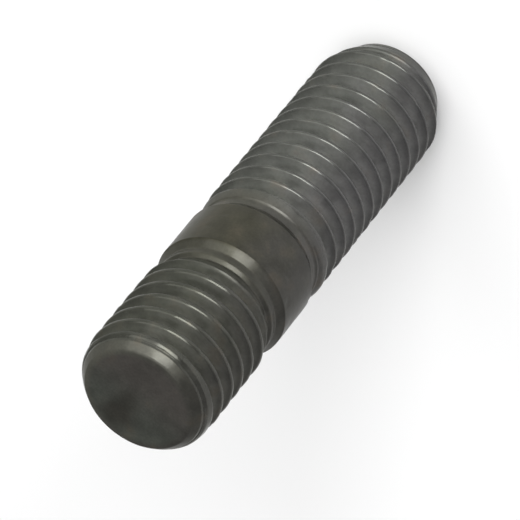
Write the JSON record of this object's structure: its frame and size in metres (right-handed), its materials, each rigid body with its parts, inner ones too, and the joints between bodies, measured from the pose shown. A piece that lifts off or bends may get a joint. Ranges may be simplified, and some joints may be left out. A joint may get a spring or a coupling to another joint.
{
  "type": "double ended stud",
  "caption": "Double ended stud: a steel bar with a long thread for a nut, a short thread for a tapped hole and a plain shank between them.",
  "frame": {"origin": "centre of the nut end's face, which the stud stands on", "axes": "+Z along the stud's axis, from the nut end to the metal end; +X and +Y are square to it, and only the threads tell them apart"},
  "size_m": [0.01, 0.01, 0.039],
  "materials": {
    "steel": "plain steel with a thin film of oil"
  },
  "bodies": {
    "root": {"stud": "steel"}
  },
  "joints": []
}
